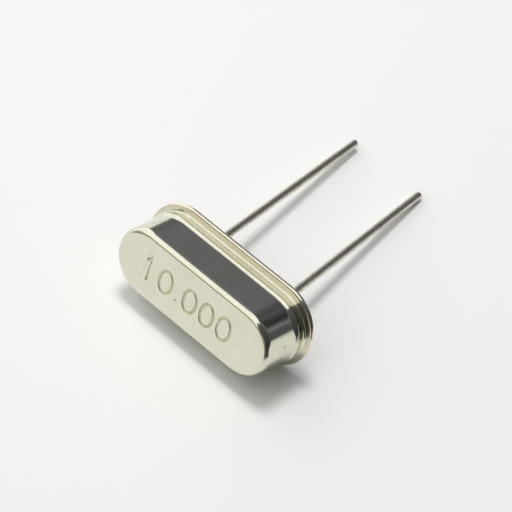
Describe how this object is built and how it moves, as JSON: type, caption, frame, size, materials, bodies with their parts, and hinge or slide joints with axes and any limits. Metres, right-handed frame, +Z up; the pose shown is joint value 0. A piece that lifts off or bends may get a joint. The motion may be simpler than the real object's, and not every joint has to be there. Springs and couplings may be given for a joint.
{
  "type": "crystal oscillator",
  "caption": "Low-profile quartz crystal: a drawn metal can with rounded ends on a flanged base, and two bent wire leads through glass seals.",
  "frame": {"origin": "on the table under the middle of the lying crystal's box", "axes": "+X along the can's long side, +Y from the can towards the tips of the leads, +Z up; the crystal lies on the long edge of its flange and on the tips of its leads, with its can tipped up by 12.5 degrees"},
  "size_m": [0.011, 0.0168, 0.0046],
  "materials": {
    "can_metal": "satin",
    "base_metal": "satin",
    "seal_glass": "gloss",
    "lead_metal": "satin",
    "clip_metal": "satin",
    "quartz": "polished",
    "silver_film": "satin",
    "silver_adhesive": "matte"
  },
  "bodies": {
    "root": {"can": "can_metal", "base": "base_metal", "glass_seal_left": "seal_glass", "glass_seal_right": "seal_glass", "lead_left": "lead_metal", "lead_right": "lead_metal", "clip_left": "clip_metal", "clip_right": "clip_metal", "quartz_blank": "quartz", "electrode_top": "silver_film", "electrode_bottom": "silver_film", "adhesive_left": "silver_adhesive", "adhesive_right": "silver_adhesive"}
  },
  "joints": []
}
